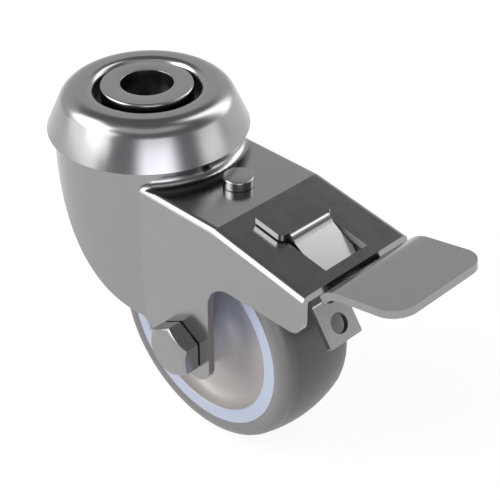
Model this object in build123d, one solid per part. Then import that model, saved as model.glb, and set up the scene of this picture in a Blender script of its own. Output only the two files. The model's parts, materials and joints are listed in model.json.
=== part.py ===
from build123d import *
from math import atan2, cos, degrees, hypot, radians, sin, sqrt, tan
import os

# A small swivel castor with a bolt hole and a foot brake, in millimetres.
# The origin is on the swivel axis, at the top of the hub that the mounting bolt goes through.
# +Z is up, the wheel trails towards +X, and the axle lies along Y with the bolt's head on the -Y side.

# Sheet thicknesses
fork_sheet = 1.5
cap_sheet = 1.0
race_sheet = 1.2
lever_sheet = 1.5
leaf_sheet = 1.2

# Hub, the hollow rivet that holds the ball races together
bolt_hole_r = 5.25
hub_head_r = 9.2
hub_head_t = 3.5
hub_shank_r = 7.4
hub_tail_r = 9.0
hub_tail_t = 1.5
hub_edge = 0.45
bore_edge = 0.1
hub_fit = 0.05

# Cover cap, which is also the upper race
cap_drop = 0.3
cap_mouth_gap = 1.2
cap_crown_land = 0.1
cap_height = 8.6
cap_cone_deg = 24.66
cap_shoulder = 4.34
cap_lip = 1.8
dish_corner = 0.8

# Balls and their tracks
ball_r = 1.5
ball_wall_gap = 0.5
ball_count = 26
track_depth = 0.25
ball_fit = 0.06
race_land = 2.3

# Fork head and the back shell, one upright cylinder
cap_overhang = 1.43
head_corner = 6.3
head_clear = 0.3
skirt_below_cap = 1.4

# Fork top and side panels
panel_half = 14.2
plate_depth = 12.15
kink_x = 33.1
slope_deg = 9.1
bend_r = 1.5
root_fillet = 1.7
strip_front_x = 55.25
arm_depth = 12.15
arm_corner = 2.8
arm_root = 6.0
leg_front = 7.8
leg_back = 2.5
leg_below = 6.2
leg_corner = 4.0
shell_top_x = -8.0
shell_top_drop = 7.05
shell_edge_deg = 64.85
shell_sag = 4.38

# Wheel
tread_t = 4.6
trail = 23.5
crown_gap = 5.35
tyre_half = 9.3
tread_half = 7.45
tread_drop = 1.0
rim_half = 9.0
rim_r = 20.4
rim_wall = 2.9
seat_half = 5.5
seat_drop = 1.0
web_half = 5.4
hub_r = 6.6
wheel_side_gap = 0.3
wheel_run = 0.05
dish_r = 3.0
rim_edge = 0.4

# Axle
axle_r = 3.0
axle_clear = 0.1
sleeve_r = 4.0
hex_flats = 10.0
hex_head_t = 4.0
hex_face_r = 4.7
hex_seat_r = 4.6
hex_seat_t = 0.25
nut_t = 4.6
collar_t = 1.8
collar_r = 4.4
bolt_out = 0.8
insert_t = 1.4
nut_fit = 0.05

# Rivet that holds the leaf spring
rivet_x = 25.3
rivet_head_r = 3.0
rivet_head_t = 2.05
rivet_shank_r = 2.0
rivet_tail_r = 2.9
rivet_tail_t = 1.2
rivet_edge = 0.25
rivet_fit = 0.03

# Window in the sloping strip
window_back_x = 43.2
window_length = 9.65
window_half = 5.55

# Brake lever
lever_side_gap = 0.1
tee_length = 6.6
tee_half = 6.8
tee_corner = 1.1
neck_half = 5.05
shoulder_x = 6.6
limb_half = 7.0
neck_fillet = 0.8
joggle_step = 1.18
joggle_deg = 60.0
joggle_round = 2.0
incline_deg = 32.1
incline_run = 11.26
vee_inner = 1.0
limb_deg = 60.0
pedal_deg = 10.7
pedal_round = 7.05
pedal_rise = 7.65
pedal_half = 12.0
pedal_length = 12.88
pedal_corner = 4.5
pedal_back_round = 1.0
pedal_back_deg = 48.7

# Leaf spring with its brake tongue
leaf_half = 4.3
leaf_back = 4.6
flex_gap = 0.2
flex_x = -0.5
leaf_wall_x = 5.5
leaf_bend = 1.5
touch_gap = 0.05
brake_gap = 5.12
tongue_angle = 25.02
tongue_turn = 11.1
tongue_below = 3.6
tongue_hole_r = 2.05
tongue_bend = 1.6

# Levels and places that follow from the sizes above
wheel_r = rim_r + tread_t
cap_mouth_r = hub_head_r + cap_mouth_gap
dish_wall_r = cap_mouth_r + cap_sheet
ball_pitch_r = dish_wall_r + ball_wall_gap + ball_r
cap_turn = cap_shoulder * tan(radians(90 - cap_cone_deg) / 2)
cap_edge_r = ball_pitch_r + cap_crown_land + cap_turn + cap_height * tan(radians(cap_cone_deg))
race_flange_r = ball_pitch_r + race_land
head_r = cap_edge_r - cap_overhang
axle_z = -(plate_depth + fork_sheet + crown_gap + wheel_r)
inner_half = panel_half - fork_sheet
head_in_r = head_r - fork_sheet
cap_under = -cap_drop - cap_sheet
upper_ball_z = cap_under - ball_fit - ball_r
head_top = upper_ball_z - ball_r - ball_fit + track_depth
head_under = head_top - fork_sheet
lower_ball_z = head_under + track_depth - ball_fit - ball_r
track_top = lower_ball_z - ball_r - ball_fit + track_depth
floor_top = -hub_head_t
floor_under = floor_top - cap_sheet
race_under = floor_under - race_sheet
hub_bottom = race_under - hub_tail_t
cap_edge_z = -cap_drop - cap_height
deep = axle_z - 2 * wheel_r


def strip_z(x):
    """Height of the fork's top face at x: level as far as the kink, then sloping down."""
    return -plate_depth - max(0.0, x - kink_x) * tan(radians(slope_deg))


def along(point, angle, distance):
    """The point at a distance from another, in a direction given in degrees."""
    return (point[0] + distance * cos(radians(angle)), point[1] + distance * sin(radians(angle)))


def meet(p, p_angle, q, q_angle):
    """Where the line through p and the line through q cross."""
    px, py = cos(radians(p_angle)), sin(radians(p_angle))
    qx, qy = cos(radians(q_angle)), sin(radians(q_angle))
    t = ((q[0] - p[0]) * qy - (q[1] - p[1]) * qx) / (px * qy - py * qx)
    return (p[0] + t * px, p[1] + t * py)


def rounded(points, rounds):
    """Flat outline with straight sides, whose corners are rounded where rounds gives a radius."""
    face = make_face(Polyline(*points, close=True))
    for index, radius in rounds.items():
        corner = Vector(points[index][0], points[index][1], 0)
        nearest = face.vertices().sort_by_distance(corner)[0]
        face = fillet(nearest, radius)
    return face


def side_view(face, half_width):
    """Solid with an outline seen from the side, carried out equally to both sides."""
    return extrude(Plane.XZ * face, half_width, both=True)


def turned(face):
    """Solid of revolution about the swivel axis, from an outline of radius and height."""
    return revolve(Plane.XZ * face, Axis.Z)


axle_plane = Plane(origin=(trail, 0, axle_z), x_dir=(1, 0, 0), z_dir=(0, -1, 0))


def on_axle(solid):
    """Carry a solid turned about Z over to the axle, its +Z end going to the -Y side."""
    return axle_plane * solid


# Swivel head


def make_hub():
    """Hollow rivet: a flat head in the cap's dish, a shank and a tail spread under the lower race."""
    outline = [
        (bolt_hole_r, 0),
        (hub_head_r, 0),
        (hub_head_r, floor_top),
        (hub_shank_r, floor_top),
        (hub_shank_r, race_under),
        (hub_tail_r, race_under),
        (hub_tail_r, hub_bottom),
        (bolt_hole_r, hub_bottom),
    ]
    edges = {0: bore_edge, 1: hub_edge, 6: hub_tail_t * 0.6, 7: hub_edge}
    return turned(rounded(outline, edges))


def make_cap():
    """Pressed cover: dished floor, rolled mouth, flat top, round shoulder and conical skirt."""
    cone = tan(radians(cap_cone_deg))
    across = cap_sheet / cos(radians(cap_cone_deg))
    outline = [
        (hub_shank_r + hub_fit, floor_top),
        (cap_mouth_r, floor_top),
        (cap_mouth_r, -cap_drop),
        (cap_edge_r - cap_height * cone, -cap_drop),
        (cap_edge_r, cap_edge_z),
        (cap_edge_r - across, cap_edge_z),
        (cap_edge_r - across - (cap_height - cap_sheet) * cone, cap_under),
        (dish_wall_r, cap_under),
        (dish_wall_r, floor_under),
        (hub_shank_r + hub_fit, floor_under),
    ]
    edges = {
        2: cap_lip,
        3: cap_shoulder,
        4: 0.15,
        6: cap_shoulder - cap_sheet,
        7: cap_lip - cap_sheet,
        8: dish_corner,
    }
    return turned(rounded(outline, edges))


def make_lower_race():
    """Pressed ring: a centre clamped under the cap's floor, a short wall and a grooved track."""
    wall_in = dish_wall_r - race_sheet
    outline = [
        (hub_shank_r + hub_fit, floor_under),
        (dish_wall_r, floor_under),
        (dish_wall_r, track_top),
        (race_flange_r, track_top),
        (race_flange_r, track_top - race_sheet),
        (wall_in, track_top - race_sheet),
        (wall_in, race_under),
        (hub_shank_r + hub_fit, race_under),
    ]
    ring = turned(rounded(outline, {1: dish_corner, 2: 0.3, 3: 0.3, 4: 0.3, 5: 0.5}))
    groove = Pos(0, 0, lower_ball_z) * Torus(ball_pitch_r, ball_r + ball_fit)
    return ring - groove


def make_balls(height, offset):
    """Full ring of balls in one track; the offset turns the ring by a share of one ball."""
    ball = Sphere(ball_r)
    places = PolarLocations(ball_pitch_r, ball_count, start_angle=offset * 360 / ball_count)
    return Compound(children=[Pos(0, 0, height) * place * ball for place in places])


# Fork


def channel(half_width, depth, corner, reach):
    """Solid bar with rounded top edges, level as far as the kink and sloping down from there."""
    section = Pos(0, (deep - depth) / 2) * Rectangle(2 * half_width, -depth - deep)
    top = section.vertices().group_by(Axis.Y)[-1]
    section = fillet(top, corner) if corner else section
    across = Plane(origin=(0, 0, 0), x_dir=(0, 1, 0), z_dir=(1, 0, 0))
    level = extrude(across * section, kink_x)
    slope = radians(slope_deg)
    beyond = Plane(origin=(kink_x, 0, 0), x_dir=(0, 1, 0), z_dir=(1, 0, 0))
    run = (reach - kink_x) / cos(slope)
    falling = extrude(beyond * section, run, dir=(cos(slope), 0, -sin(slope)))
    return level + falling


def drum(radius, top, corner):
    """Solid of the swivel head and the back shell: an upright cylinder with a rounded top."""
    outline = [(0, top), (-radius, top), (-radius, deep), (0, deep)]
    return revolve(Plane.XZ * rounded(outline, {1: corner}), Axis.Z)


def root_edges(solid, radius):
    """Edges where the channel leaves the upright cylinder."""
    found = []
    for edge in solid.edges():
        middle = edge @ 0.5
        on_wall = abs(hypot(middle.X, middle.Y) - radius) < 0.02
        if on_wall and middle.X > 0 and deep + 1 < middle.Z < -plate_depth + 0.01:
            found.append(edge)
    return found


def fork_trim():
    """Side outline that the pressing is cut to: back shell, leg with the axle, and brake arm."""
    skirt_z = cap_edge_z - skirt_below_cap
    shell_top = (shell_top_x, -plate_depth - shell_top_drop)
    rise = (skirt_z - shell_top[1]) / sin(radians(shell_edge_deg))
    shell_edge = along(shell_top, 180 - shell_edge_deg, rise)
    leg_low = axle_z - leg_below
    leg_heel = (trail + leg_back, leg_low)
    arm_low = -plate_depth - arm_depth
    front = strip_front_x
    leg_x = trail + leg_front
    chord = degrees(atan2(leg_heel[1] - shell_top[1], leg_heel[0] - shell_top[0]))
    half = ((shell_top[0] + leg_heel[0]) / 2, (shell_top[1] + leg_heel[1]) / 2)
    bulge = along(half, chord - 90, shell_sag)
    sides = [
        Line(shell_top, shell_edge),
        Line(shell_edge, (-2 * head_r, skirt_z)),
        Line((-2 * head_r, skirt_z), (-2 * head_r, 1)),
        Line((-2 * head_r, 1), (front, 1)),
        Line((front, 1), (front, arm_low)),
        Line((front, arm_low), (leg_x, arm_low)),
        Line((leg_x, arm_low), (leg_x, leg_low)),
        Line((leg_x, leg_low), leg_heel),
        ThreePointArc(leg_heel, bulge, shell_top),
    ]
    face = make_face(sides)
    corners = [
        ((front, arm_low), arm_corner),
        ((leg_x, arm_low), arm_root),
        ((leg_x, leg_low), leg_corner),
        (leg_heel, leg_corner),
        (shell_edge, 1.0),
    ]
    for place, radius in corners:
        nearest = face.vertices().sort_by_distance(Vector(place[0], place[1], 0))[0]
        face = fillet(nearest, radius)
    return face


def make_fork():
    """One deep-drawn pressing: swivel head, back shell, two side panels and the strip on top."""
    past = strip_front_x + 4 * fork_sheet
    outside = drum(head_r, head_top, head_corner) + channel(panel_half, plate_depth, bend_r, past)
    outside = fillet(root_edges(outside, head_r), root_fillet)
    hollow = drum(head_in_r, head_under, head_corner - fork_sheet)
    hollow += channel(inner_half, plate_depth + fork_sheet, 0, past + fork_sheet)
    fork = (outside - hollow) & side_view(fork_trim(), 2 * head_r)
    fork -= Pos(0, 0, head_under) * Cylinder(dish_wall_r + head_clear, 6 * fork_sheet)
    for height in (upper_ball_z, lower_ball_z):
        fork -= Pos(0, 0, height) * Torus(ball_pitch_r, ball_r + ball_fit)
    window_mid = window_back_x + window_length / 2
    fork -= Pos(window_mid, 0, strip_z(window_mid)) * Box(window_length, 2 * window_half, 6 * fork_sheet)
    fork -= Pos(rivet_x, 0, -plate_depth) * Cylinder(rivet_shank_r + rivet_fit, 4 * fork_sheet)
    fork -= on_axle(Cylinder(axle_r + axle_clear, 4 * panel_half))
    return fork


# Leaf spring and its rivet


def make_rivet():
    """Flat-headed rivet through the fork's top and the foot of the leaf spring."""
    tail_top = -plate_depth - fork_sheet - leaf_sheet
    head_z = -plate_depth + rivet_head_t
    outline = [
        (0, head_z),
        (rivet_head_r, head_z),
        (rivet_head_r, -plate_depth),
        (rivet_shank_r, -plate_depth),
        (rivet_shank_r, tail_top),
        (rivet_tail_r, tail_top),
        (rivet_tail_r, tail_top - rivet_tail_t),
        (0, tail_top - rivet_tail_t),
    ]
    body = turned(rounded(outline, {1: rivet_edge, 6: rivet_tail_t * 0.7}))
    return Pos(rivet_x, 0, 0) * body


leaf_top = -plate_depth - fork_sheet
leaf_foot_end = kink_x + flex_x - flex_gap
leaf_pivot = (kink_x + flex_x - flex_gap / 2, leaf_top - leaf_sheet / 2)


def make_leaf_foot():
    """Flat foot of the leaf spring, riveted under the level part of the strip."""
    length = leaf_foot_end - rivet_x + leaf_back
    middle = (leaf_foot_end + rivet_x - leaf_back) / 2
    foot = Pos(middle, 0, leaf_top - leaf_sheet / 2) * Box(length, 2 * leaf_half, leaf_sheet)
    rear = foot.edges().filter_by(Axis.Z).group_by(Axis.X)[0]
    foot = fillet(rear, 1.0)
    return foot - Pos(rivet_x, 0, leaf_top) * Cylinder(rivet_shank_r + rivet_fit, 4 * leaf_sheet)


def lever_points():
    """Corners of the brake lever's upper and lower faces, seen from the side."""
    seat = -slope_deg
    back = (window_back_x - tee_length, strip_z(window_back_x - tee_length))
    hook = (window_back_x + lever_side_gap, strip_z(window_back_x + lever_side_gap))
    top_back = (back[0], back[1] + lever_sheet / cos(radians(slope_deg)))
    step_x = hook[0] + lever_sheet * 1.1
    step_low = (step_x, meet(top_back, seat, (step_x, 0), 90)[1] - joggle_step)
    step_top = meet(top_back, seat, step_low, 180 - joggle_deg)
    vee = along(step_low, -incline_deg, incline_run)
    heel = along(vee, limb_deg, pedal_rise)
    tip = along(heel, pedal_deg, pedal_length + pedal_round / 2)
    low_tip = along(tip, pedal_deg - 90, lever_sheet)
    low_heel = meet(low_tip, pedal_deg, along(heel, limb_deg - 90, lever_sheet), limb_deg)
    low_step = along(step_low, -incline_deg - 90, lever_sheet)
    low_vee = meet(low_step, -incline_deg, low_heel, limb_deg)
    low_hook = meet(low_step, -incline_deg, hook, 90)
    return [top_back, step_top, step_low, vee, heel, tip, low_tip, low_heel, low_vee, low_hook, hook, back]


lever_outline = lever_points()
lever_pivot = (window_back_x + lever_side_gap, lever_outline[10][1] - 0.42)


def leaf_outline():
    """Side outline of the leaf spring's arm: down under the lever, a wall, and the brake tongue."""
    low_step = lever_outline[9]
    wall_x = window_back_x + leaf_wall_x
    normal = 90 - incline_deg
    centre_x = wall_x - leaf_bend
    touch_x = centre_x + leaf_bend * cos(radians(normal))
    touch_z = low_step[1] - (touch_x - low_step[0]) * tan(radians(incline_deg))
    centre = along((touch_x, touch_z), normal + 180, leaf_bend + touch_gap)
    start = (kink_x + flex_x, leaf_top)
    reach = hypot(centre[0] - start[0], centre[1] - start[1])
    fall = degrees(atan2(centre[1] - start[1], centre[0] - start[0])) + degrees(
        atan2(leaf_bend, sqrt(reach**2 - leaf_bend**2))
    )
    corner = meet(start, fall, (wall_x, 0), 90)
    tongue_mid = along((trail, axle_z), tongue_angle, wheel_r + brake_gap + leaf_sheet)
    down = tongue_angle - 90 + tongue_turn
    fold = meet((wall_x, 0), 90, tongue_mid, down)
    tip = along(tongue_mid, down, tongue_below)
    low_start = (start[0], start[1] - leaf_sheet)
    inner_x = wall_x - leaf_sheet
    inner_corner = meet(low_start, fall, (inner_x, 0), 90)
    inner_tip = along(tip, down - 90, leaf_sheet)
    inner_fold = meet((inner_x, 0), 90, inner_tip, down)
    points = [start, corner, fold, tip, inner_tip, inner_fold, inner_corner, low_start]
    rounds = {1: leaf_bend, 2: tongue_bend, 5: tongue_bend + leaf_sheet, 6: leaf_bend - leaf_sheet}
    return points, rounds, tongue_mid, down


def make_leaf_arm():
    """Moving part of the leaf spring, with a hole through its brake tongue."""
    points, rounds, tongue_mid, down = leaf_outline()
    arm = side_view(rounded(points, rounds), leaf_half)
    facing = (cos(radians(down + 90)), 0, sin(radians(down + 90)))
    drill = Plane(origin=(tongue_mid[0], 0, tongue_mid[1]), x_dir=(0, 1, 0), z_dir=facing)
    arm -= drill * Cylinder(tongue_hole_r, 6 * leaf_sheet)
    tips = [e for e in arm.edges() if abs(e.length - leaf_sheet) < 0.01]
    low_tips = sorted(tips, key=lambda e: (e @ 0.5).Z)[:2]
    return fillet(low_tips, 0.5)


# Brake lever


def make_lever():
    """Bent strip: a T-shaped head hooked behind the window, a slope, a V under the strip, a pedal."""
    points = lever_outline
    rounds = {
        1: joggle_round,
        3: vee_inner,
        4: pedal_round,
        7: pedal_round - lever_sheet,
        8: vee_inner + lever_sheet,
    }
    side = rounded(points, rounds)
    tip = points[5]
    start = window_back_x
    wide_from = start + shoulder_x
    head = Pos(start - tee_length - 1, 0) * Rectangle(
        tee_length + 1, 2 * tee_half, align=(Align.MIN, Align.CENTER)
    )
    neck = Pos(start - 1, 0) * Rectangle(wide_from - start + 2, 2 * neck_half, align=(Align.MIN, Align.CENTER))
    limb = Pos(wide_from, 0) * Rectangle(tip[0] - wide_from, 2 * limb_half, align=(Align.MIN, Align.CENTER))
    plan = head + neck + limb
    for place in [(start, tee_half), (start, -tee_half)]:
        nearest = plan.vertices().sort_by_distance(Vector(place[0], place[1], 0))[0]
        plan = fillet(nearest, tee_corner)
    for place in [(wide_from, neck_half), (wide_from, -neck_half)]:
        nearest = plan.vertices().sort_by_distance(Vector(place[0], place[1], 0))[0]
        plan = fillet(nearest, neck_fillet)
    strip = side_view(side, tee_half + 4) & Pos(0, 0, deep) * extrude(plan, -deep + 5)
    heel = points[4]
    turn = (limb_deg + pedal_deg) / 2
    arc_mid = along(heel, limb_deg - 180, pedal_round * tan(radians((limb_deg - pedal_deg) / 2)))
    cut_low = along(arc_mid, -pedal_back_deg, 9)
    cut_high = along(arc_mid, 180 - pedal_back_deg, 9)
    far = 3 * pedal_length
    around = [cut_low, along(cut_low, turn - 20, far), along(cut_high, turn, far), cut_high]
    ahead = make_face(Polyline(*around, close=True))
    blade = side_view(side & ahead, pedal_half)
    tip_edges = [e for e in blade.edges() if abs(e.length - lever_sheet) < 0.01 and (e @ 0.5).X > tip[0] - 2]
    blade = fillet(tip_edges, pedal_corner)
    back_edges = blade.edges().filter_by(lambda e: abs(abs((e @ 0.5).Y) - pedal_half) < 0.01)
    back_edges = [e for e in back_edges if e.length < 3 * lever_sheet]
    back_edges = sorted(back_edges, key=lambda e: (e @ 0.5).X)[:2]
    blade = fillet(back_edges, pedal_back_round)
    return strip + blade


# Wheel


def wheel_outline():
    """Half of the wheel core's outline: bore, hub, web, rim wall and tyre seat."""
    hub_half = inner_half - wheel_side_gap
    rim_in = rim_r - rim_wall
    return [
        (sleeve_r + wheel_run, 0),
        (sleeve_r + wheel_run, hub_half),
        (hub_r, hub_half),
        (hub_r, web_half),
        (rim_in, web_half),
        (rim_in, rim_half),
        (rim_r, rim_half),
        (rim_r, seat_half + seat_drop),
        (rim_r - seat_drop, seat_half),
        (rim_r - seat_drop, 0),
    ]


def make_wheel_core():
    """Moulded wheel with a smooth dish on each side and a long plain hub."""
    rounds = {1: 0.4, 2: 0.6, 3: dish_r, 4: dish_r, 5: rim_edge}
    half = turned(rounded(wheel_outline(), rounds))
    return on_axle(half + mirror(half, Plane.XY))


def make_tyre():
    """Soft tyre with a crowned tread, locked over the raised middle of its seat."""
    shoulder = (rim_r + 1.1, tyre_half)
    edge = (wheel_r - 2, tyre_half - 0.4)
    sides = [
        ThreePointArc((wheel_r - tread_drop, tread_half), (wheel_r, 0), (wheel_r - tread_drop, -tread_half)),
        ThreePointArc((wheel_r - tread_drop, -tread_half), (edge[0], -edge[1]), (shoulder[0], -shoulder[1])),
        Line((shoulder[0], -shoulder[1]), (rim_r, -rim_half)),
        Line((rim_r, -rim_half), (rim_r, -seat_half - seat_drop)),
        Line((rim_r, -seat_half - seat_drop), (rim_r - seat_drop, -seat_half)),
        Line((rim_r - seat_drop, -seat_half), (rim_r - seat_drop, seat_half)),
        Line((rim_r - seat_drop, seat_half), (rim_r, seat_half + seat_drop)),
        Line((rim_r, seat_half + seat_drop), (rim_r, rim_half)),
        Line((rim_r, rim_half), shoulder),
        ThreePointArc(shoulder, edge, (wheel_r - tread_drop, tread_half)),
    ]
    return on_axle(turned(make_face(sides)))


# Axle


def hexagon(height, face_r, both_ends):
    """Hexagon bar with one corner up on a low round seat, its outer edges cut back by a cone."""
    corner_r = hex_flats / sqrt(3)
    bar = extrude(RegularPolygon(corner_r, 6, rotation=30), height)
    drop = (corner_r + 1 - face_r) * tan(radians(30))
    outline = [(0, 0), (corner_r + 1, 0), (corner_r + 1, height - drop), (face_r, height), (0, height)]
    if both_ends:
        outline = [(0, 0), (face_r, 0), (corner_r + 1, drop)] + outline[2:]
    bar = bar & turned(make_face(Polyline(*outline, close=True)))
    low = (Align.CENTER, Align.CENTER, Align.MIN)
    bar -= Cylinder(2 * corner_r, hex_seat_t, align=low) - Cylinder(hex_seat_r, hex_seat_t, align=low)
    return bar


def make_axle_bolt():
    """Hexagon bolt seated on the near panel, its shank running through to the nut."""
    head = Pos(0, 0, panel_half) * hexagon(hex_head_t, hex_face_r, False)
    far_end = panel_half + nut_t + collar_t + bolt_out
    shank = Pos(0, 0, panel_half) * Cylinder(
        axle_r, panel_half + far_end, align=(Align.CENTER, Align.CENTER, Align.MAX)
    )
    end = shank.faces().sort_by(Axis.Z)[0].edges()
    shank = chamfer(end, 0.5)
    return on_axle(head + shank)


def make_axle_nut():
    """Lock nut on the far panel: a hexagon with a round collar for its plastic ring."""
    body = hexagon(nut_t, hex_face_r, True)
    collar = Pos(0, 0, nut_t) * Cylinder(collar_r, collar_t, align=(Align.CENTER, Align.CENTER, Align.MIN))
    collar = fillet(collar.faces().sort_by(Axis.Z)[-1].edges(), 0.5)
    nut = body + collar
    nut -= Cylinder(axle_r + nut_fit, 4 * nut_t)
    pocket_r = axle_r + 0.9
    nut -= Pos(0, 0, nut_t + collar_t - insert_t - 0.2) * Cylinder(
        pocket_r, insert_t, align=(Align.CENTER, Align.CENTER, Align.MIN)
    )
    return on_axle(Pos(0, 0, -panel_half) * Rot(180, 0, 0) * nut)


def make_nut_insert():
    """Plastic ring inside the lock nut's collar."""
    ring = Cylinder(axle_r + 0.85, insert_t - 0.05, align=(Align.CENTER, Align.CENTER, Align.MIN))
    ring -= Cylinder(axle_r + nut_fit, 4 * insert_t)
    low = nut_t + collar_t - insert_t - 0.175
    return on_axle(Pos(0, 0, -panel_half) * Rot(180, 0, 0) * Pos(0, 0, low) * ring)


def make_sleeve():
    """Steel tube clamped between the two panels, which the wheel runs on."""
    tube = Cylinder(sleeve_r, 2 * inner_half) - Cylinder(axle_r + axle_clear, 2 * inner_half)
    return on_axle(tube)


parts = {
    "swivel_hub": make_hub(),
    "cover_cap": make_cap(),
    "lower_race": make_lower_race(),
    "upper_balls": make_balls(upper_ball_z, 0),
    "lower_balls": make_balls(lower_ball_z, 0.5),
    "fork": make_fork(),
    "spring_rivet": make_rivet(),
    "leaf_foot": make_leaf_foot(),
    "leaf_arm": make_leaf_arm(),
    "brake_lever": make_lever(),
    "wheel_core": make_wheel_core(),
    "tyre": make_tyre(),
    "axle_bolt": make_axle_bolt(),
    "axle_nut": make_axle_nut(),
    "nut_insert": make_nut_insert(),
    "axle_sleeve": make_sleeve(),
}

os.makedirs("parts", exist_ok=True)
for node, solid in parts.items():
    export_step(solid, f"parts/{node}.step")
    print(node, round(solid.volume, 1))
print("lever pivot", lever_pivot, "leaf pivot", leaf_pivot, "axle", (trail, axle_z))
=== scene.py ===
# %% [markdown]
# # A braked swivel castor
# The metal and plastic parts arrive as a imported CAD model, in metres, each in its true place.
# This lesson dresses them: it sets up the view, a small photo studio and the finishes, and then
# remakes the parts that show with clean shading, because bright steel shows every facet.

# %% Load the CAD model and measure it
import json
from math import atan2, cos, degrees, hypot, pi, radians, sin, tan

import bmesh
import bpy
from mathutils import Matrix, Vector

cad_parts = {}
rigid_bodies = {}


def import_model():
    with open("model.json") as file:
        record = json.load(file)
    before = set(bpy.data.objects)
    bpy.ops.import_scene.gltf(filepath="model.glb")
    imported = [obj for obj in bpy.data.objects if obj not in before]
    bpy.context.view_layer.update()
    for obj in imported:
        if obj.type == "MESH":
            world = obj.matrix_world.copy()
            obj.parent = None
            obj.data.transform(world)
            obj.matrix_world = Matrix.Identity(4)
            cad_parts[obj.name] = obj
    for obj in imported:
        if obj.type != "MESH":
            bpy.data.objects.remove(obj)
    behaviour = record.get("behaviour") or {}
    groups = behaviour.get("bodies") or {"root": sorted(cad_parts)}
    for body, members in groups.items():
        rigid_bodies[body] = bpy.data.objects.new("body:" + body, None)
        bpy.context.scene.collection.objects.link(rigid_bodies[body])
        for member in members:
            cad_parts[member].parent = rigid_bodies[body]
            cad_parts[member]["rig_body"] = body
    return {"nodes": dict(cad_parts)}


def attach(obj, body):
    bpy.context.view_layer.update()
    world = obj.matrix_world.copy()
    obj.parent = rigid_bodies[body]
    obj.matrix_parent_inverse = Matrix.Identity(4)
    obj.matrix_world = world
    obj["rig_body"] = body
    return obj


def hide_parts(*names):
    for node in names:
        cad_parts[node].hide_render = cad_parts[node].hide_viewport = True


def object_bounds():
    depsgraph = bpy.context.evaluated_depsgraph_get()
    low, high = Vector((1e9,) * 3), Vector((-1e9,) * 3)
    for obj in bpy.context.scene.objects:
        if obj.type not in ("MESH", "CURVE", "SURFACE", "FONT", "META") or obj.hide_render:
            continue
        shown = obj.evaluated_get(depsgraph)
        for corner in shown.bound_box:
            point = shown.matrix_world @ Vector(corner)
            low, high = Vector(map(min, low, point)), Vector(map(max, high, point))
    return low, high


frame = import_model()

cad_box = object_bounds()
MM = 0.001
print("CAD box in mm:", [[round(c / MM, 2) for c in corner] for corner in cad_box])

# %% [markdown]
# ## The view
# A product picture like this is usually made with a long lens from an isometric direction:
# 45 degrees round and 35.26 degrees up, with no roll. The camera could be aimed by hand or
# with a Track To constraint. Here its three axes are written out, because then the small
# sideways and downward offset is plain to see and easy to change.

# %% Camera
LENS, SENSOR = 95.2, 36
ASIDE, BELOW, AWAY = 20.09, 32.69, 257.83
right = Vector((1, 1, 0)).normalized()
back = Vector((1, -1, 1)).normalized()
up = back.cross(right)
camera = bpy.data.objects.new("camera", bpy.data.cameras.new("camera"))
bpy.context.scene.collection.objects.link(camera)
camera.data.lens, camera.data.sensor_width = LENS, SENSOR
camera.data.clip_start, camera.data.clip_end = 0.01, 10
spot = (right * ASIDE - up * BELOW + back * AWAY) * MM
camera.matrix_world = Matrix.Translation(spot) @ Matrix((right, up, back)).transposed().to_4x4()
bpy.context.scene.camera = camera
print("camera at", [round(c, 4) for c in spot])

# %% [markdown]
# ## The studio
# Bright steel has hardly any colour of its own: it shows what stands round it. So the studio
# matters more than the metal. Area lamps could be hung round the castor, but they are noisy in
# sharp reflections and hard to line up. Here the world itself is the studio: a dark room in
# which soft panels of light stand at chosen bearings and heights. A white floor closes it below.
# The node calls that come again and again are put into helpers first.


# %% Helpers for node trees
def shader_tree(owner):
    """Start an empty node tree on a material or the world."""
    owner.use_nodes = True
    tree = owner.node_tree
    tree.nodes.clear()
    return tree


def add(tree, kind, **settings):
    """Add a node by its short name and set its properties."""
    node = tree.nodes.new("ShaderNode" + kind)
    for name, value in settings.items():
        setattr(node, name, value)
    return node


def ramp(tree, source, stops):
    """A colour ramp of greys or colours, fed by a socket."""
    node = add(tree, "ValToRGB")
    elements = node.color_ramp.elements
    while len(elements) < len(stops):
        elements.new(0.5)
    for element, (place, value) in zip(elements, stops):
        element.position = place
        element.color = (value, value, value, 1) if isinstance(value, float) else (*value, 1)
    tree.links.new(source, node.inputs["Fac"])
    return node.outputs["Color"]


def soft_step(tree, source, low, high, start=0.0, end=1.0):
    """A smooth change from start to end while the source goes from low to high."""
    step = add(tree, "MapRange", interpolation_type="SMOOTHSTEP")
    for name, value in (("From Min", low), ("From Max", high), ("To Min", start), ("To Max", end)):
        step.inputs[name].default_value = value
    tree.links.new(source, step.inputs["Value"])
    return step.outputs["Result"]


def calculate(tree, operation, first, second=None):
    """One math node on sockets."""
    node = add(tree, "Math", operation=operation)
    tree.links.new(first, node.inputs[0])
    if second is not None:
        tree.links.new(second, node.inputs[1])
    return node.outputs[0]


# %% [markdown]
# ## The room
# Where no panel stands, the metal mirrors the room, and that makes its dark parts. One grey for
# the whole world would do, but a real room is lighter and a little cooler near the horizon. The
# height of a direction above the horizon is the arcsine of its Z, and a ramp turns it to grey.

# %% World: a dark room, darker overhead
HORIZON, OVERHEAD = (0.3, 0.3, 0.33), 0.2
world = bpy.data.worlds.new("studio")
bpy.context.scene.world = world
sky = shader_tree(world)
direction = add(sky, "TexCoord").outputs["Generated"]
split = add(sky, "SeparateXYZ")
sky.links.new(direction, split.inputs[0])
height = calculate(sky, "ARCSINE", split.outputs["Z"])
room = ramp(sky, soft_step(sky, height, 0.0, pi / 2), [(0.0, HORIZON), (0.4, OVERHEAD)])
print("room nodes:", len(sky.nodes))

# %% [markdown]
# ## Soft panels
# A studio panel is a sheet of cloth with a lamp behind it, so its edges are soft. It could be a
# glowing plane, but a plane would stand in the way of other views. Here a panel is a patch of
# the world, given by its bearing and its heights. The angle across it comes from two dot
# products, smooth steps fade it at its edges, and it is laid over the panels before it.

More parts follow.
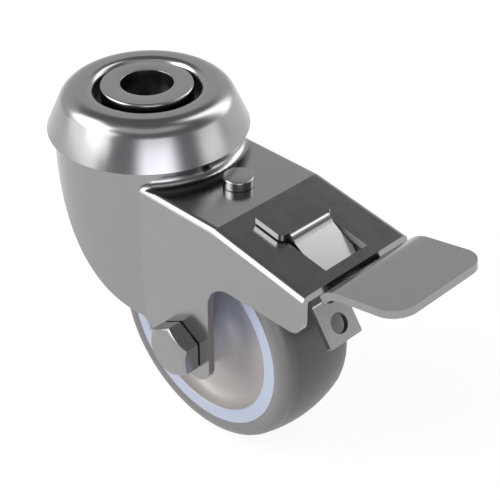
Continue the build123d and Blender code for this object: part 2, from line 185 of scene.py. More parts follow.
# %% Helper: one soft panel
MIX_BELOW, MIX_ABOVE, MIX_RESULT = 6, 7, 2  # where a Mix node keeps its colour sockets


def panel(below, bearing, half, low, high, tint, strength, soft):
    """Lay a soft panel over what is below it. Bearing, half, low, high and soft are in degrees."""
    turn, edge = radians(bearing), soft / 2
    sides = []
    for axis in ((-sin(turn), cos(turn), 0), (cos(turn), sin(turn), 0)):
        dot = add(sky, "VectorMath", operation="DOT_PRODUCT")
        sky.links.new(direction, dot.inputs[0])
        dot.inputs[1].default_value = axis
        sides.append(dot.outputs["Value"])
    across = calculate(sky, "ABSOLUTE", calculate(sky, "ARCTAN2", *sides))
    mask = soft_step(sky, across, radians(half - edge), radians(half + edge), 1.0, 0.0)
    above_foot = soft_step(sky, height, radians(low - edge), radians(low + edge))
    below_top = soft_step(sky, height, radians(high - edge), radians(high + edge), 1.0, 0.0)
    for limit in (above_foot, below_top):
        mask = calculate(sky, "MULTIPLY", mask, limit)
    mix = add(sky, "Mix", data_type="RGBA")
    sky.links.new(mask, mix.inputs[0])
    sky.links.new(below, mix.inputs[MIX_BELOW])
    mix.inputs[MIX_ABOVE].default_value = (*(c * strength for c in tint), 1)
    return mix.outputs[MIX_RESULT]


# %% Seven panels: bearing, half width, lowest and highest place, tint, strength and softness
WHITE, COOL = (1.0, 1.0, 1.0), (0.93, 0.945, 1.0)
light = room
for where_and_how in (
    (135, 84, -20, 39, WHITE, 0.72, 6),  # behind the castor, wide and dim
    (-45, 70, 52, 74, WHITE, 0.85, 14),  # high over the camera
    (-33, 20, -14, 20, COOL, 3.6, 16),  # beside the camera, low
    (34, 16, -14, 15, WHITE, 2.0, 16),  # on the right, low
    (-125, 26, -14, 15, WHITE, 2.2, 14),  # on the left, low
    (-131, 26, 20, 55, WHITE, 5.5, 14),  # on the left, high
    (79, 13, 5, 66, WHITE, 3.6, 18),  # on the right and behind, tall
):
    light = panel(light, *where_and_how)
print("room and panel nodes:", len(sky.nodes))

# %% [markdown]
# ## A white background
# The background of the picture is plain white. More light would give that, but it would bleach
# the castor too. Light Path tells what kind of ray asks, so the camera's own rays, and rays
# through clear things, get white, and all other rays get the room and its panels.


# %% World: white where it is seen
def by_ray(tree, kinds, shown, otherwise):
    """One shader for rays of the named kinds, and another for all the rest."""
    rays = add(tree, "LightPath")
    asked = rays.outputs[kinds[0]]
    for kind in kinds[1:]:
        asked = calculate(tree, "MAXIMUM", asked, rays.outputs[kind])
    mix = add(tree, "MixShader")
    tree.links.new(asked, mix.inputs["Fac"])
    tree.links.new(otherwise, mix.inputs[1])
    tree.links.new(shown, mix.inputs[2])
    return mix.outputs[0]


studio, plain = add(sky, "Background"), add(sky, "Background")
sky.links.new(light, studio.inputs["Color"])
plain.inputs["Color"].default_value = (1, 1, 1, 1)
for background in (studio, plain):
    background.inputs["Strength"].default_value = 1.0
output = add(sky, "OutputWorld")
seen_world = by_ray(sky, ("Is Camera Ray", "Is Transmission Ray"), plain.outputs[0], studio.outputs[0])
sky.links.new(seen_world, output.inputs["Surface"])
print("world nodes:", len(sky.nodes))

# %% [markdown]
# ## The floor
# The castor stands on white paper. Paper needs much light to look white, and that light would
# bleach the castor. So this floor glows for the camera and for what the metal mirrors, with a
# thin share of paint in it to take a faint shadow. To all other rays it is plain pale paint.

# %% Floor: a wide plane just under the tyre
FLOOR_SIZE, FLOOR_GAP = 3.0, 0.0001
floor_z = cad_box[0].z
bm = bmesh.new()
bmesh.ops.create_grid(bm, x_segments=1, y_segments=1, size=FLOOR_SIZE)
bmesh.ops.translate(bm, verts=bm.verts, vec=(0, 0, floor_z - FLOOR_GAP))
floor_mesh = bpy.data.meshes.new("floor")
bm.to_mesh(floor_mesh)
bm.free()
floor = bpy.data.objects.new("floor", floor_mesh)
bpy.context.scene.collection.objects.link(floor)
print("floor at", round(floor_z / MM, 2), "mm")

# %% Its paint: white to the camera and to the metal
PAPER, THIN_PAINT, GLOW = 0.8, 0.12, 0.9


def paint(tree, shade):
    """A matte shader of one grey."""
    node = add(tree, "BsdfDiffuse")
    node.inputs["Color"].default_value = (shade, shade, shade, 1)
    return node.outputs[0]


floor_paint = bpy.data.materials.new("floor paint")
tree = shader_tree(floor_paint)
glow = add(tree, "Emission")
glow.inputs["Color"].default_value = (1, 1, 1, 1)
glow.inputs["Strength"].default_value = GLOW
lit = add(tree, "AddShader")
tree.links.new(paint(tree, THIN_PAINT), lit.inputs[0])
tree.links.new(glow.outputs[0], lit.inputs[1])
output = add(tree, "OutputMaterial")
seen_kinds = ("Is Camera Ray", "Is Glossy Ray", "Is Transmission Ray")
tree.links.new(by_ray(tree, seen_kinds, lit.outputs[0], paint(tree, PAPER)), output.inputs["Surface"])
floor.data.materials.append(floor_paint)
print("floor paint nodes:", len(tree.nodes))

# %% [markdown]
# ## One lamp
# The panels light the metal, but the tyre and the wheel are matte and look flat under them. A
# dim lamp low on the near side gives their round forms a bright side. A sun would throw hard
# shadows, so this lamp is a soft box, a glowing square half a metre wide.

# %% A soft box on the near side
BOX_FROM = Vector((-0.25, -0.9, 0.45)).normalized()
BOX_AIM = Vector((0.025, 0, -0.03))
BOX_AWAY, BOX_SIDE, BOX_WATTS = 0.9, 0.5, 2.0
box_light = bpy.data.lights.new("side_box", "AREA")
box_light.shape = "RECTANGLE"
box_light.size = box_light.size_y = BOX_SIDE
box_light.energy = BOX_WATTS
box = bpy.data.objects.new("side_box", box_light)
bpy.context.scene.collection.objects.link(box)
box.location = BOX_AIM + BOX_FROM * BOX_AWAY
box.rotation_mode = "QUATERNION"
box.rotation_quaternion = BOX_FROM.to_track_quat("Z", "Y")
print("lamp at", [round(c, 3) for c in box.location])

# %% [markdown]
# ## The finishes
# Zinc-bright steel is smooth but not a mirror: it gives soft, slightly blurred reflections.
# Metallic 1 with a low roughness gives that. Its grey is darker than real zinc, because the
# panels are brighter than white. A faint noise in the roughness and a tiny bump stop it looking
# like liquid. An image would do for the noise; object coordinates need none, and the pattern
# stays put on the metal. Three more steels are painted light and shade: a very dark one paints
# shade on faces that stand in shadow, a near-black one paints the shade under the lever's head,
# and a very bright one paints light into what the lever reflects.

# %% Helper: a finish
NOISE_LOW, NOISE_HIGH = 0.3, 0.7  # nearly all of a noise lies between these
NOISE_DETAIL, ROUGHNESS_SPREAD, DENT_DEPTH = 4.0, 0.1, 0.0001


def finish(name, color, metallic, roughness, grain, bump=0.0, spread=0.04):
    """A principled material with fine noise in its roughness, shade and surface."""
    material = bpy.data.materials.new(name)
    tree = shader_tree(material)
    place = add(tree, "TexCoord")
    noise = add(tree, "TexNoise")
    noise.inputs["Scale"].default_value = grain
    noise.inputs["Detail"].default_value = NOISE_DETAIL
    tree.links.new(place.outputs["Object"], noise.inputs["Vector"])
    shader = add(tree, "BsdfPrincipled")
    shader.inputs["Metallic"].default_value = metallic
    dark = tuple(c * (1 - spread) for c in color)
    pale = tuple(min(1, c * (1 + spread)) for c in color)
    tone = ramp(tree, noise.outputs["Fac"], [(NOISE_LOW, dark), (NOISE_HIGH, pale)])
    tree.links.new(tone, shader.inputs["Base Color"])
    rough = add(tree, "MapRange")
    rough.inputs["From Min"].default_value = NOISE_LOW
    rough.inputs["From Max"].default_value = NOISE_HIGH
    rough.inputs["To Min"].default_value = roughness * (1 - ROUGHNESS_SPREAD)
    rough.inputs["To Max"].default_value = roughness * (1 + ROUGHNESS_SPREAD)
    tree.links.new(noise.outputs["Fac"], rough.inputs["Value"])
    tree.links.new(rough.outputs["Result"], shader.inputs["Roughness"])
    if bump:
        dents = add(tree, "Bump")
        dents.inputs["Strength"].default_value = bump
        dents.inputs["Distance"].default_value = DENT_DEPTH
        tree.links.new(noise.outputs["Fac"], dents.inputs["Height"])
        tree.links.new(dents.outputs["Normal"], shader.inputs["Normal"])
    output = add(tree, "OutputMaterial")
    tree.links.new(shader.outputs[0], output.inputs["Surface"])
    return material


# %% Steel, plastic and rubber
METAL, DULL = 1.0, 0.0
FINE, BROAD, PEBBLY = 300, 120, 900  # scales of the noise
steel = finish("zinc-bright steel", (0.32, 0.32, 0.321), METAL, 0.2, FINE, bump=0.002, spread=0.01)
cap_steel = finish("polished cap steel", (0.33, 0.33, 0.332), METAL, 0.22, FINE, bump=0.002, spread=0.01)
# Very dark steel: painted shade on faces that stand in shadow, such as the hub's bore and the cap's
# inner wall.
shade_painted_steel = finish("steel painted dark for shade", (0.07, 0.07, 0.072), METAL, 0.35, FINE, spread=0.05)
# Very bright steel: painted light on the window walls, which the lever reflects.
light_painted_steel = finish("steel painted bright", (0.8, 0.8, 0.8), METAL, 0.45, FINE, spread=0.05)
ball_steel = finish("ball steel", (0.6, 0.6, 0.62), METAL, 0.08, FINE)
# Near black: painted shade in the line where the lever's head rests on the strip.
contact_shade_paint = finish("painted contact shade", (0.012, 0.012, 0.012), DULL, 0.6, FINE, spread=0.1)
core_plastic = finish("rim plastic", (0.345, 0.38, 0.48), DULL, 0.3, BROAD, spread=0.01)
dish_plastic = finish("dish plastic", (0.4, 0.4, 0.4), DULL, 0.35, BROAD, spread=0.01)
tread_rubber = finish("grey tread rubber", (0.1, 0.1, 0.1), DULL, 0.38, PEBBLY, bump=0.05, spread=0.03)
ring_plastic = finish("lock ring plastic", (0.6, 0.6, 0.55), DULL, 0.4, grain=200)
print("materials in the file so far:", len(bpy.data.materials))

# %% [markdown]
# ## Tints and painted reflection by place
# The rubber looks paler at the tyre's sides than on its tread. The wheel's dish is painted from a
# cool grey above to a warm one below: a painted reflection of its soft gloss. Two materials with a
# border would show a step, and painted vertices would need a fine mesh. A distance measured along
# a direction blends the shades smoothly.


# %% Helper: a shade that follows a distance
def shade_by_place(material, origin, along, low, high, near, far, both_ways=False):
    """Blend a finish from near to far by the distance from an origin along a direction, in mm."""
    tree = material.node_tree
    place = next(node for node in tree.nodes if node.bl_idname == "ShaderNodeTexCoord")
    shader = next(node for node in tree.nodes if node.bl_idname == "ShaderNodeBsdfPrincipled")
    away = add(tree, "VectorMath", operation="SUBTRACT")
    tree.links.new(place.outputs["Object"], away.inputs[0])
    away.inputs[1].default_value = Vector(origin) * MM
    dot = add(tree, "VectorMath", operation="DOT_PRODUCT")
    tree.links.new(away.outputs[0], dot.inputs[0])
    dot.inputs[1].default_value = along
    distance = dot.outputs["Value"]
    if both_ways:
        distance = calculate(tree, "ABSOLUTE", distance)
    step = soft_step(tree, distance, low * MM, high * MM)
    tree.links.new(ramp(tree, step, [(0.0, near), (1.0, far)]), shader.inputs["Base Color"])


# %% Painted reflection on the dish, tints of the tyre, and a finish for every CAD node
AXLE = (23.5, 0, -44)  # middle of the wheel, in mm
# Painted reflection: cool grey on the upper dish, warm grey on the lower.
DISH_REFLECTION_ABOVE, DISH_REFLECTION_BELOW = (0.38, 0.39, 0.47), (0.35, 0.325, 0.315)
shade_by_place(dish_plastic, AXLE, (0.5, 0, -0.87), -4, 8, DISH_REFLECTION_ABOVE, DISH_REFLECTION_BELOW)
TREAD_DARK, SIDE_PALE = (0.068, 0.064, 0.072), (0.152, 0.143, 0.145)
shade_by_place(tread_rubber, AXLE, (0, 1, 0), 5.5, 9.2, TREAD_DARK, SIDE_PALE, both_ways=True)
FINISHES = {
    "upper_balls": ball_steel,
    "lower_balls": ball_steel,
    "cover_cap": cap_steel,
    "wheel_core": core_plastic,
    "tyre": tread_rubber,
    "nut_insert": ring_plastic,
}
for name, node in frame["nodes"].items():
    node.data.materials.clear()
    node.data.materials.append(FINISHES.get(name, steel))
print("finished nodes:", len(frame["nodes"]))

# %% [markdown]
# ## Pressed parts with clean shading
# The fork, the lever and the leaf spring are already the right shape. Their CAD meshes are
# loose triangles, which shade flat. A merged copy can be shaded smooth, with real creases kept
# sharp. The triangles of each flat are first joined into one face, so that Weighted Normal
# keeps the large flats flat beside their bends.


# %% Helpers: a piece that stands for a CAD node, and a merged copy of one
def piece_for(node_name, name, bm, crease):
    """Turn a finished bmesh into a smooth-shaded piece that moves with the node's body."""
    mesh = bpy.data.meshes.new(name)
    bm.to_mesh(mesh)
    bm.free()
    mesh.shade_smooth()
    mesh.set_sharp_from_angle(angle=radians(crease))
    source = frame["nodes"][node_name]
    mesh.materials.append(source.data.materials[0])
    piece = bpy.data.objects.new(name, mesh)
    bpy.context.scene.collection.objects.link(piece)
    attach(piece, source["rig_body"])
    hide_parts(node_name)
    print(name, len(mesh.polygons), "faces")
    return piece


def merged(node_name, same_place=1e-6, same_flat=0.2):
    """A bmesh of a CAD node with its triangles joined up and its flats made whole."""
    bm = bmesh.new()
    bm.from_mesh(frame["nodes"][node_name].data)
    bmesh.ops.remove_doubles(bm, verts=bm.verts, dist=same_place)
    bmesh.ops.dissolve_limit(
        bm, angle_limit=radians(same_flat), verts=bm.verts, edges=bm.edges, delimit={"NORMAL"}
    )
    return bm


def even_out(piece):
    """Let large faces decide the normals at their edges."""
    even = piece.modifiers.new("flat flats", "WEIGHTED_NORMAL")
    even.keep_sharp = True
    even.weight = 100


# %% [markdown]
# ## The fork
# The fork is one deep-drawn pressing. The fold across its strip is so shallow that smooth shading
# would melt it away, but in the picture it is a crisp line. A finer mesh there could show it;
# marking its edges sharp is enough. A test on each face picks out the side walls of the window in
# the strip, and they get a bright, duller steel. That is painted light: the lever beside them
# reflects the walls and looks lighter.

# %% Helper: a second finish for some faces
SIDEWAYS = 0.9  # a face whose normal has this much of Y faces sideways


def second_finish(piece, material, chosen):
    """Give another finish to the faces that a test picks out."""
    mesh = piece.data
    mesh.materials.append(material)
    faces = [face for face in mesh.polygons if chosen(face)]
    for face in faces:
        face.material_index = len(mesh.materials) - 1
    print(piece.name, len(faces), "faces in", material.name)


# %% Fork: a crisp fold, and window walls painted bright
PRESSED_CREASE = 28
KINK_X, WINDOW_X, WINDOW_HALF, NEAR = 33.1, 40, 5.55, 0.02
fork_skin = piece_for("fork", "fork_skin", merged("fork"), PRESSED_CREASE)
corners = fork_skin.data.vertices
folds = 0
for edge in fork_skin.data.edges:
    if all(abs(corners[i].co.x / MM - KINK_X) < NEAR for i in edge.vertices):
        edge.use_edge_sharp = True
        folds += 1
print("fold edges:", folds)
even_out(fork_skin)


def window_wall(face):
    """A side wall of the window that the lever goes down through."""
    x, y, _ = face.center / MM
    return abs(face.normal.y) > SIDEWAYS and abs(abs(y) - WINDOW_HALF) < NEAR and x > WINDOW_X


# Painted light: the bright window walls lighten what the lever reflects.
second_finish(fork_skin, light_painted_steel, window_wall)

# %% [markdown]
# ## Leaf spring, lower race and lock nut
# These need no more than clean shading, so one loop makes them all. The nut's chamfer is a
# shallow cone, and a smaller angle keeps its edges crisp. The leaf spring is cut from strip. Its
# sides and its upright wall stand in shade, and that shade is painted on with the dark steel.

# %% Leaf spring, lower race and lock nut
NUT_CREASE = 22
skins = {}
for name in ("leaf_arm", "leaf_foot", "lower_race", "axle_nut"):
    crease = NUT_CREASE if name == "axle_nut" else PRESSED_CREASE
    skins[name] = piece_for(name, name + "_skin", merged(name), crease)
    even_out(skins[name])
WALL_OUT, WALL_UP = 0.5, 0.35


def leaf_edge(face):
    """A cut side of the leaf spring, or its upright wall."""
    wall = face.normal.x > WALL_OUT and face.normal.z < WALL_UP
    return abs(face.normal.y) > SIDEWAYS or wall


# Painted shade on the leaf spring's cut sides and its upright wall.
second_finish(skins["leaf_arm"], shade_painted_steel, leaf_edge)

# %% [markdown]
# ## The lever
# Its T-shaped head lies on the strip, and a fine dark line of shade shows between them. A gap
# would do that, but the real head rests there. Sheared steel has slightly round lower edges, so a
# small bevel goes under the head, and its faces are painted near black: the line is painted shade.

# %% Lever with its head's lower edges rounded
STRIP_Z, SLOPE, HOOK_X, TOUCH = -12.15, radians(9.1), 43.3, 0.01
SQUARE, SHADE_BAND = radians(60), 0.33
bm = merged("brake_lever")


def under_head(vertex):
    """Whether a vertex of the lever lies on the face that rests on the strip."""
    x, _, z = vertex.co / MM
    return x < HOOK_X + TOUCH and abs(z - STRIP_Z + (x - KINK_X) * tan(SLOPE)) < TOUCH


under_edges = [
    edge
    for edge in bm.edges
    if all(under_head(v) for v in edge.verts) and edge.is_manifold and edge.calc_face_angle() > SQUARE
]
print("edges under the head:", len(under_edges))
bmesh.ops.bevel(
    bm, geom=under_edges, offset=SHADE_BAND * MM, offset_type="OFFSET", segments=1, profile=0.5,
    affect="EDGES", material=-1, clamp_overlap=False,
)
lever_skin = piece_for("brake_lever", "lever_skin", bm, PRESSED_CREASE)
even_out(lever_skin)

# %% Painted shade on the lever: its cut sides in the window, and a dark line under the head
MIDDLE_START, MIDDLE_END, HEAD_END = 43, 57.5, 43.4
SHADE_BAND_DOWN, SHADE_BAND_TILTED = -0.95, -0.3


def middle_side(face):
    """A cut side of the lever's middle, between its head and its pedal."""
    return abs(face.normal.y) > SIDEWAYS and MIDDLE_START * MM < face.center.x < MIDDLE_END * MM


def head_shade_band(face):
    """The bevel under the head, which gets painted shade."""
    tilted = SHADE_BAND_DOWN < face.normal.z < SHADE_BAND_TILTED
    return not middle_side(face) and face.center.x < HEAD_END * MM and tilted


# Painted shade on the lever's cut sides inside the window.
second_finish(lever_skin, shade_painted_steel, middle_side)
# Painted shade: a near-black line under the head, where it rests on the strip.
second_finish(lever_skin, contact_shade_paint, head_shade_band)

# %% [markdown]
# ## Round parts, spun
# The cap, the hub, the rivet, the wheel and the tyre are turned shapes. Each could be a lathe of
# a drawn curve or a Screw modifier. Spinning a fine profile keeps every radius as a number, and
# 192 steps give the steel an unbroken highlight.

# %% Helpers: an arc for a profile, and a spin round an upright line or the axle
TURNED_CREASE = 40


def arc(centre, radius, start, end, steps):
    """Points on an arc, angles in degrees."""
    turns = [radians(start + (end - start) * i / steps) for i in range(steps + 1)]
    return [(centre[0] + radius * cos(t), centre[1] + radius * sin(t)) for t in turns]


def spun(node_name, name, profile, crease=TURNED_CREASE, axis="Z", centre=(0, 0, 0), steps=192):
    """Spin a closed profile of (radius, height) in mm and let it stand for a CAD node."""
    bm = bmesh.new()
    ring = [bm.verts.new((r * MM, 0, h * MM)) for r, h in profile]
    for i, vertex in enumerate(ring):
        bm.edges.new((vertex, ring[(i + 1) % len(ring)]))
    bmesh.ops.spin(
        bm, geom=bm.verts[:] + bm.edges[:], cent=(0, 0, 0), axis=(0, 0, 1), angle=2 * pi, steps=steps,
        use_merge=True,
    )
    bmesh.ops.remove_doubles(bm, verts=bm.verts, dist=1e-7)
    if axis == "Y":
        bmesh.ops.rotate(bm, verts=bm.verts, cent=(0, 0, 0), matrix=Matrix.Rotation(radians(90), 3, "X"))
    bmesh.ops.translate(bm, verts=bm.verts, vec=Vector(centre) * MM)
    bmesh.ops.recalc_face_normals(bm, faces=bm.faces)
    return piece_for(node_name, name, bm, crease)


# %% [markdown]
# ## The cover cap
# The cap is drawn from a millimetre of sheet and keeps dirt out of the ball race. Its profile
# could be a middle line with a Solidify modifier. Both faces are written out here, because each
# pair of arcs then shares its centre. The wall round the hub stands in shadow, and that shadow is
# painted on with the dark steel.

# %% Cover cap: floor, rolled mouth, flat top, round shoulder and cone, then back along the inside
SHEET, FLOOR_Z, HOLE_R, CONE = 1.0, -3.5, 7.45, 24.66
MOUTH, MOUTH_R = (12.2, -2.1), 1.8
SHOULDER, SHOULDER_R = (13.5, -4.64), 4.34
RIM_EDGE, RIM_EDGE_R, INNER_RIM = (19.997, -8.75), 0.15, (19.131, -8.9)
FLOOR_BEND, FLOOR_BEND_R = (10.6, -3.7), 0.8
cap_profile = (
    [(HOLE_R, FLOOR_Z), (MOUTH[0] - MOUTH_R, FLOOR_Z)]
    + arc(MOUTH, MOUTH_R, 180, 90, 14)
    + arc(SHOULDER, SHOULDER_R, 90, CONE, 20)
    + arc(RIM_EDGE, RIM_EDGE_R, CONE, -90, 6)
    + [INNER_RIM]
    + arc(SHOULDER, SHOULDER_R - SHEET, CONE, 90, 16)
    + arc(MOUTH, MOUTH_R - SHEET, 90, 180, 8)
    + arc(FLOOR_BEND, FLOOR_BEND_R, 0, -90, 6)
    + [(HOLE_R, FLOOR_Z - SHEET)]
)
cap_skin = spun("cover_cap", "cap_skin", cap_profile)
WALL_R, WALL_TOP = 10.8, -1.2


def from_middle(face):
    """How far a face is from the swivel axis."""
    return hypot(face.center.x, face.center.y)


def inner_wall(face):
    """The cap's floor and its wall round the hub."""
    return from_middle(face) < WALL_R * MM and face.center.z < WALL_TOP * MM


# Painted shade on the cap's floor and its wall round the hub.
second_finish(cap_skin, shade_painted_steel, inner_wall)

# %% [markdown]
# ## The hub
# The hub is a hollow rivet: its head stands just over the cap, and its tail is spread under the
# lower race. A cylinder with a Bevel modifier would be near, but the edges differ in how round
# they are, so the profile is drawn as the cap's is. The bore stands in shade, and that shade is
# painted on with the dark steel.

# %% Hub: flat head with a soft outer edge, and the tail spread below
HEAD_R, NECK_R, TAIL_R, BORE_R, BORE_NEAR = 9.2, 7.4, 9.0, 5.25, 0.01
TAIL_TOP, TAIL_END, EDGE_SOFT, TAIL_SOFT, MOUTH_SOFT = -5.7, -7.2, 0.45, 0.9, 0.1
hub_profile = (
    arc((HEAD_R - EDGE_SOFT, -EDGE_SOFT), EDGE_SOFT, 90, 0, 8)
    + [(HEAD_R, FLOOR_Z), (NECK_R, FLOOR_Z), (NECK_R, TAIL_TOP), (TAIL_R, TAIL_TOP)]
    + arc((TAIL_R - TAIL_SOFT, TAIL_END + TAIL_SOFT), TAIL_SOFT, 0, -90, 8)
    + arc((BORE_R + EDGE_SOFT, TAIL_END + EDGE_SOFT), EDGE_SOFT, -90, -180, 6)
    + arc((BORE_R + MOUTH_SOFT, -MOUTH_SOFT), MOUTH_SOFT, 180, 90, 4)
)
hub_skin = spun("swivel_hub", "hub_skin", hub_profile)
# Painted shade in the bore.
second_finish(hub_skin, shade_painted_steel, lambda face: from_middle(face) < (BORE_R + BORE_NEAR) * MM)

# %% [markdown]
# ## The rivet
# It holds the leaf spring under the strip. A plain cylinder would seem to grow out of the strip.
# The real head was pressed down on it, so the foot of the head is cut back a little all round,
# and that gives a fine dark line there.

# %% Rivet: crisp head, with a fine undercut where it meets the strip
RIVET_X, STEM_R, RIVET_HEAD_R, RIVET_TAIL_R = 25.3, 2.0, 3.0, 2.9
RIVET_TOP, RIVET_TAIL_TOP, RIVET_END, UNDERCUT = -10.1, -14.85, -16.05, 0.16
HEAD_EDGE, TAIL_EDGE = 0.3, 0.84
rivet_profile = (
    [(0, RIVET_END)]
    + arc((RIVET_TAIL_R - TAIL_EDGE, RIVET_END + TAIL_EDGE), TAIL_EDGE, -90, 0, 8)
    + [(RIVET_TAIL_R, RIVET_TAIL_TOP), (STEM_R, RIVET_TAIL_TOP), (STEM_R, STRIP_Z)]
    + [(RIVET_HEAD_R - UNDERCUT, STRIP_Z), (RIVET_HEAD_R, STRIP_Z + UNDERCUT)]
    + arc((RIVET_HEAD_R - HEAD_EDGE, RIVET_TOP - HEAD_EDGE), HEAD_EDGE, 0, 90, 8)
    + [(0, RIVET_TOP)]
)
spun("spring_rivet", "rivet_skin", rivet_profile, centre=(RIVET_X, 0, 0), steps=96)

# %% [markdown]
# ## The wheel
# The wheel's core is one plastic moulding: a hub, a thin dish with a hollow on each side, and a
# rim that carries the tyre. A Mirror modifier could copy one side. Here half of the profile is
# drawn, and the other half is the same points with their heights turned over, before the spin.

# %% Wheel core: bore, hub, dish and rim, one half drawn and the other mirrored
SEAT = [(20.4, 9.0), (20.4, 6.5), (19.4, 5.5)]  # the step that locks the tyre
DISH_EDGE_R = 17.6
half_core = (
    arc((4.45, 12.0), 0.4, 180, 90, 5)  # mouth of the bore
    + arc((6.0, 11.8), 0.6, 90, 0, 6)  # outer edge of the hub
    + arc((9.6, 8.4), 3.0, 180, 270, 14)  # hollow from the hub to the dish
    + arc((14.5, 8.4), 3.0, 270, 360, 14)  # hollow from the dish to the rim
    + arc((17.9, 8.6), 0.4, 180, 90, 5)  # inner edge of the rim
    + SEAT
)
core_profile = half_core + [(r, -h) for r, h in reversed(half_core)]
core_skin = spun("wheel_core", "core_skin", core_profile, axis="Y", centre=AXLE)


def in_dish(face):
    """A face of the dish or the hub, inside the rim."""
    x, _, z = face.center - Vector(AXLE) * MM
    return hypot(x, z) < DISH_EDGE_R * MM


second_finish(core_skin, dish_plastic, in_dish)

# %% [markdown]
# ## The tyre
# The tread is a little crowned and its shoulders are round, all in soft rubber with no sharp
# edge. A torus would be too round. Three points that can be read from the side give each arc of
# the profile, so a helper finds the circle that goes through them.


# %% Helper: an arc from three of its points
def arc_through(first, middle, last, steps):
    """Points on the arc through three points."""
    (ax, ay), (bx, by), (cx, cy) = first, middle, last
    d = 2 * (ax * (by - cy) + bx * (cy - ay) + cx * (ay - by))
    a, b, c = ax**2 + ay**2, bx**2 + by**2, cx**2 + cy**2
    centre = (
        (a * (by - cy) + b * (cy - ay) + c * (ay - by)) / d,
        (a * (cx - bx) + b * (ax - cx) + c * (bx - ax)) / d,
    )
    start = degrees(atan2(ay - centre[1], ax - centre[0]))
    end = degrees(atan2(cy - centre[1], cx - centre[0]))
    return arc(centre, hypot(ax - centre[0], ay - centre[1]), start, end, steps)


# %% Tyre: a crowned tread between two rounded shoulders
TREAD_R, TREAD_EDGE, SIDE_MIDDLE, SIDE_END = 25, (24, 7.45), (23, 8.9), (21.5, 9.3)
TYRE_CREASE = 50
crown = arc_through(TREAD_EDGE, (TREAD_R, 0), (TREAD_EDGE[0], -TREAD_EDGE[1]), 24)
shoulder_and_seat = arc_through(TREAD_EDGE, SIDE_MIDDLE, SIDE_END, 10)[1:] + SEAT
tyre_profile = crown + [(r, -h) for r, h in shoulder_and_seat] + shoulder_and_seat[::-1]
spun("tyre", "tyre_skin", tyre_profile, crease=TYRE_CREASE, axis="Y", centre=AXLE)

# %% [markdown]
# ## The balls
# Two full rings of balls run above and below the fork's head. They could be instanced on a
# circle; 26 small spheres in one mesh are just as light and need no extra objects.

# %% Two rings of balls, the lower one half a step round
BALL_R, PITCH_R, BALLS, BALL_CREASE = 1.5, 13.4, 26, 60
for node_name, level, offset in (("upper_balls", -2.86, 0.0), ("lower_balls", -6.98, 0.5)):
    bm = bmesh.new()
    for i in range(BALLS):
        turn = 2 * pi * (i + offset) / BALLS
        place = Matrix.Translation(Vector((PITCH_R * cos(turn), PITCH_R * sin(turn), level)) * MM)
        bmesh.ops.create_uvsphere(bm, u_segments=24, v_segments=14, radius=BALL_R * MM, matrix=place)
    piece_for(node_name, node_name + "_skin", bm, BALL_CREASE)

# %% [markdown]
# ## The axle bolt
# A bolt head is a hexagon cut by a cone, so its chamfer is wide at the corners and runs out at
# the flats. A hexagonal cylinder with a bevel would have a chamfer of one width. Here rings of
# points are set round the axle, each where the cone, the flats or the shank put it, and
# bridged. The corners are then worn a little, as on any cold-forged bolt.

# %% Rings of the bolt: head, seat and shank, each as (reach, place along the axle) at a turn
FLATS, CORNER = 10.0, 30.0
FACE_R, CHAMFER = 4.4, 0.577
SEAT_R, SHANK_R = 4.6, 3.0
FACE_Y, HEAD_END_Y, SEAT_Y, CUT_Y = -18.2, -14.45, -14.2, 14.0


def hexagon(turn):
    """How far the hexagon reaches at a turn round the axle, in mm."""
    past_flat = (degrees(turn) - CORNER) % 60 - 30
    return FLATS / 2 / cos(radians(past_flat))


bolt_rings = (
    lambda turn: (FACE_R, FACE_Y),
    lambda turn: (hexagon(turn), FACE_Y + (hexagon(turn) - FACE_R) * CHAMFER),
    lambda turn: (hexagon(turn), HEAD_END_Y),
    lambda turn: (SEAT_R, HEAD_END_Y),
    lambda turn: (SEAT_R, SEAT_Y),
    lambda turn: (SHANK_R, SEAT_Y),
    lambda turn: (SHANK_R, CUT_Y),
)
print("rings:", len(bolt_rings), "corner reach:", round(hexagon(radians(CORNER)), 2), "mm")

# %% Bolt: its rings set round the axle and bridged
RING_POINTS, ALL_SMOOTH = 96, 180
bm = bmesh.new()
loops = []
for ring_at in bolt_rings:
    made = bmesh.ops.create_circle(bm, segments=RING_POINTS, radius=1.0, cap_ends=False)["verts"]
    for vertex in made:
        turn = atan2(vertex.co.y, vertex.co.x)
        reach, y = ring_at(turn)
        vertex.co = Vector((AXLE[0] + reach * cos(turn), y, AXLE[2] + reach * sin(turn))) * MM
    loops.append({edge for vertex in made for edge in vertex.link_edges})
for low, high in zip(loops, loops[1:]):
    bmesh.ops.bridge_loops(bm, edges=list(low | high))
bmesh.ops.holes_fill(bm, edges=[e for e in bm.edges if e.is_boundary])
bmesh.ops.recalc_face_normals(bm, faces=bm.faces)
bolt_skin = piece_for("axle_bolt", "bolt_skin", bm, ALL_SMOOTH)

# %% Wear of the bolt's corners
WORN_FROM, WEAR = 40, 0.2
soften = bolt_skin.modifiers.new("worn corners", "BEVEL")
soften.limit_method = "ANGLE"
soften.angle_limit = radians(WORN_FROM)
soften.width = WEAR * MM
soften.segments = 3
even_out(bolt_skin)
print("worn by", WEAR, "mm where faces meet at over", WORN_FROM, "degrees")

# %% [markdown]
# ## The thread
# The CAD bolt has a plain shank. The end that shows beyond the nut needs a real thread. A
# texture would look painted, so one V of the thread is swept along a helix with Spin and its
# step vector, cut square at both ends, and turned down to a small chamfer.

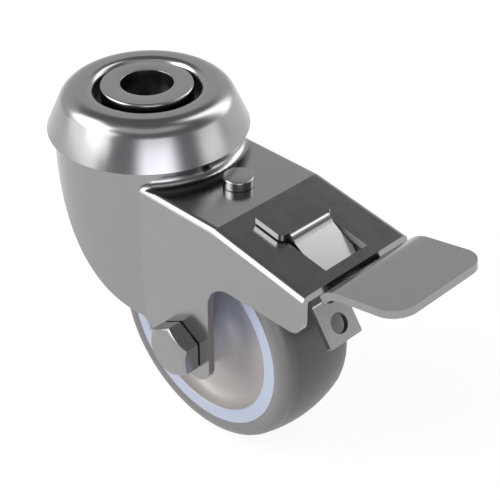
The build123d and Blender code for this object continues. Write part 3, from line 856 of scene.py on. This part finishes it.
# %% Threaded end: a helix, cut square
PITCH, CREST_R, ROOT_R = 1.0, 3.0, 2.55
CREST_START, CREST_END = 0.42, 0.58
TURNS, STEPS, RUN_IN, END_Y = 10, 48, 1.2, 21.4
bm = bmesh.new()
vee = [(ROOT_R, 0.0), (CREST_R, CREST_START * PITCH), (CREST_R, CREST_END * PITCH), (ROOT_R, PITCH)]
line = [bm.verts.new((r * MM, 0, h * MM)) for r, h in vee]
for low, high in zip(line, line[1:]):
    bm.edges.new((low, high))
bmesh.ops.spin(
    bm, geom=bm.verts[:] + bm.edges[:], cent=(0, 0, 0), axis=(0, 0, 1), dvec=(0, 0, PITCH * MM / STEPS),
    angle=2 * pi * TURNS, steps=TURNS * STEPS, use_merge=False,
)
bmesh.ops.remove_doubles(bm, verts=bm.verts, dist=1e-7)
bmesh.ops.rotate(bm, verts=bm.verts, cent=(0, 0, 0), matrix=Matrix.Rotation(radians(-90), 3, "X"))
bmesh.ops.translate(bm, verts=bm.verts, vec=Vector((AXLE[0], CUT_Y - RUN_IN, AXLE[2])) * MM)
for level, outward in ((CUT_Y, -1), (END_Y, 1)):
    everything = bm.verts[:] + bm.edges[:] + bm.faces[:]
    bmesh.ops.bisect_plane(
        bm, geom=everything, plane_co=(0, level * MM, 0), plane_no=(0, outward, 0), clear_outer=True
    )
bmesh.ops.holes_fill(bm, edges=[e for e in bm.edges if e.is_boundary])
print("thread vertices:", len(bm.verts))

# %% Its end is turned down to a chamfer
END_CHAMFER, THREAD_CREASE = 0.5, 35
middle = Vector((AXLE[0], 0, AXLE[2])) * MM
for vertex in bm.verts:
    out = vertex.co - middle
    y = out.y / MM
    out.y = 0
    limit = (CREST_R - max(0.0, y - END_Y + END_CHAMFER)) * MM
    if out.length > limit:
        out.length = limit
        vertex.co = middle + out + Vector((0, y * MM, 0))
bmesh.ops.recalc_face_normals(bm, faces=bm.faces)
piece_for("axle_bolt", "bolt_thread", bm, THREAD_CREASE)

# %% [markdown]
# ## Colours as they are
# The dressed castor must be as large as the CAD model, and a look at the picture would miss a
# tenth of a millimetre. Colours are shown as they are, with the Standard view, because a filmic
# view would grey the white paper.

# %% Standard view, and finish
bpy.context.scene.view_settings.view_transform = "Standard"
